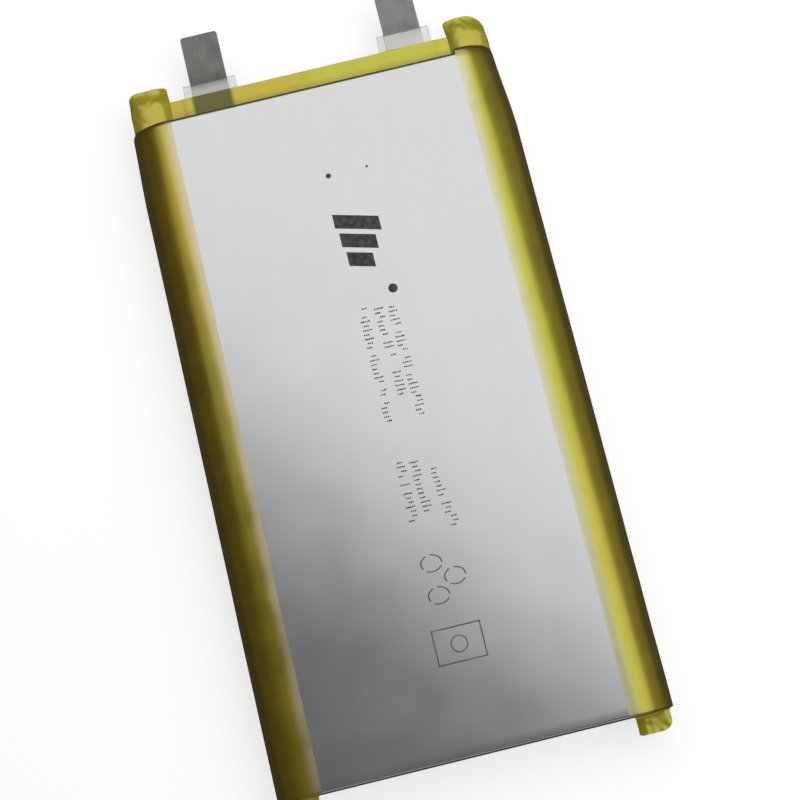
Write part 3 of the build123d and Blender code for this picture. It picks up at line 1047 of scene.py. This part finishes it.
def tickMarks(chance):
    step, (slipX, slipY) = printSet["pitch"], printSet["tickSlip"]
    marks = []
    for startX, startY, length, lean in printSet["lines"]:
        for tick in range(int(length / printSet["tickPitch"])):
            down = tick * printSet["tickPitch"]
            if chance.random() < printSet["tickGaps"]:
                continue
            middle = (startX + lean * down / length) * mm
            for i in tickDots(chance):
                x = middle + (2 - i) * step + chance.uniform(-slipX, slipX) * mm
                y = (startY - down) * mm + chance.uniform(-slipY, slipY) * mm
                marks.append((x, y, chance.uniform(0.8, 1.1)))
    return marks


def loopMarks():
    # Three rings, each with three gaps
    size, squash = printSet["loopRadius"] * mm, printSet["loopSquash"]
    turns = [2 * math.pi * i / 30 for i in range(30) if i % 10 < 8]
    return [(x * mm + size * math.cos(a), y * mm + squash * size * math.sin(a), 1.0)
            for x, y in printSet["loops"] for a in turns]


def panelMarks(chance):
    # A plain frame with a ring in it
    left, top, right, bottom = (value * mm for value in printSet["panel"])
    ring, centreX, centreY = printSet["panelRing"] * mm, mix(left, right, 0.5), mix(top, bottom, 0.5)
    outline = [(x, y) for x in spread(left, right, 26) for y in (top, bottom)]
    outline += [(x, y) for y in spread(bottom, top, 19)[1:-1] for x in (left, right)]
    outline += [(centreX + ring * math.cos(a), centreY + ring * math.sin(a))
                for a in spread(0.0, 2 * math.pi, 24)[:-1]]
    return [(x, y, chance.uniform(0.85, 1.1)) for x, y in outline]


def addBars(points, faces):
    # Slanted bars, each shorter than the one before
    bars = printSet["bars"]
    for index in range(bars["count"]):
        start = len(points)
        for reach in spread(0.0, bars["length"] - bars["shorter"] * index, 13):
            x = (bars["left"] + bars["shift"] * index + reach) * mm
            y = (bars["top"] - bars["pitch"] * index - bars["lean"] * reach) * mm
            points.extend((x, edge, faceHeight(x, edge)) for edge in (y, y - bars["height"] * mm))
        faces.extend((a, a + 1, a + 3, a + 2) for a in range(start, len(points) - 2, 2))


def makeInk():
    material, tree, shader = newMaterial("printedInk", {"IOR": 1.45})
    clouds = placeGroup(tree, cloudyFilm, **{"Cloud Scale": 1.2, "Speck Scale": 8.0, "Speck Amount": 0.8})
    faded = rangeOf(tree, clouds.outputs["Cloud"], 0.35, 0.7)
    tone = blendOf(tree, faded, printSet["inkColour"], printSet["fadedColour"])
    tree.links.new(tone, shader.inputs["Base Color"])
    addRoughness(tree, shader, clouds.outputs["Cloud"], 0.45, 0.7)
    return material


def makePrint():
    chance = random.Random(12)
    points, faces = [], []
    for x, y, share in tickMarks(chance) + loopMarks() + panelMarks(chance):
        addDot(x, y, printSet["dot"] * share, points, faces)
    for x, y, size in printSet["spots"]:
        addDot(x * mm, y * mm, size * mm, points, faces)
    addBars(points, faces)
    mesh = bpy.data.meshes.new("printedMarks")
    mesh.from_pydata(points, [], faces)
    piece = bpy.data.objects.new("printedMarks", mesh)
    bpy.context.scene.collection.objects.link(piece)
    thicken(piece, printSet["inkThickness"])
    finishPiece(piece, makeInk(), "printed_ink")


makePrint()
print("marks printed")

# The parts inside keep their shape and get their finish
insideSet = {
    "copper": {"colour": (0.72, 0.35, 0.20), "dark": (0.45, 0.18, 0.09), "rough": (0.25, 0.4)},
    "aluminium": {"colour": (0.80, 0.81, 0.82), "dark": (0.62, 0.63, 0.64), "rough": (0.25, 0.4)},
    "graphite": {"colour": (0.035, 0.035, 0.038), "light": (0.075, 0.075, 0.08)},
    "oxide": {"colour": (0.05, 0.043, 0.038), "light": (0.10, 0.088, 0.08)},
    "separator": {"colour": (0.86, 0.87, 0.87), "light": (0.93, 0.93, 0.93)},
    "greenTape": {"colour": (0.06, 0.24, 0.09), "light": (0.12, 0.36, 0.14)},
}


def makeFoilMaterial(name, finish):
    material, tree, shader = newMaterial(name, {"Metallic": 1.0})
    grain = placeGroup(tree, rolledGrain, **{"Line Density": 4.0, "Wander": 0.6})
    lines = grain.outputs["Lines"]
    tone = blendOf(tree, rangeOf(tree, lines, 0.3, 1.1), finish["dark"], finish["colour"])
    tree.links.new(tone, shader.inputs["Base Color"])
    tree.links.new(rangeOf(tree, lines, 0.3, 1.0, *finish["rough"]), shader.inputs["Roughness"])
    addBump(tree, shader, grain.outputs["Height"], 0.3, 0.01 * mm)
    return material


def makePowderMaterial(name, finish):
    material, tree, shader = newMaterial(name, {"IOR": 1.5})
    powder = placeGroup(tree, pressedPowder, **{"Grain Scale": 12.0})
    pale = rangeOf(tree, powder.outputs["Grain"], 0.35, 0.65)
    tone = blendOf(tree, pale, finish["colour"], finish["light"])
    tree.links.new(tone, shader.inputs["Base Color"])
    addRoughness(tree, shader, powder.outputs["Grain"], 0.6, 0.85)
    addBump(tree, shader, powder.outputs["Height"], 0.4, 0.01 * mm)
    return material


def makeFilmMaterial(name, finish, coat):
    material, tree, shader = newMaterial(name, {"Coat Weight": coat, "Coat Roughness": 0.15, "IOR": 1.5})
    clouds = placeGroup(tree, cloudyFilm, **{"Cloud Scale": 0.6, "Speck Scale": 5.0, "Speck Amount": 0.3})
    dimples = placeGroup(tree, filmDimples, **{"Dimple Scale": 3.0, "Wave Scale": 0.3})
    tone = blendOf(tree, clouds.outputs["Cloud"], finish["colour"], finish["light"])
    tree.links.new(tone, shader.inputs["Base Color"])
    addRoughness(tree, shader, clouds.outputs["Cloud"], 0.4, 0.6)
    addBump(tree, shader, dimples.outputs["Height"], 0.3, 0.01 * mm)
    return material


def finishInside():
    finishes = {
        "anode_foil": makeFoilMaterial("copperFoil", insideSet["copper"]),
        "cathode_foil": makeFoilMaterial("aluminiumFoil", insideSet["aluminium"]),
    }
    graphite = makePowderMaterial("graphiteCoating", insideSet["graphite"])
    oxide = makePowderMaterial("oxideCoating", insideSet["oxide"])
    porous = makeFilmMaterial("porousSeparator", insideSet["separator"], 0.1)
    green = makeFilmMaterial("insulatingTape", insideSet["greenTape"], 0.8)
    for side in ("inner", "outer"):
        finishes[f"anode_coating_{side}"] = graphite
        finishes[f"cathode_coating_{side}"] = oxide
        finishes[f"separator_{side}"] = porous
        finishes[f"positive_weld_tape_{side}"] = green
        finishes[f"negative_weld_tape_{side}"] = green
    finishes["winding_end_tape"] = green
    for node, material in finishes.items():
        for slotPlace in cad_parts[node].material_slots:
            slotPlace.material = material


finishInside()
print("inside finished")
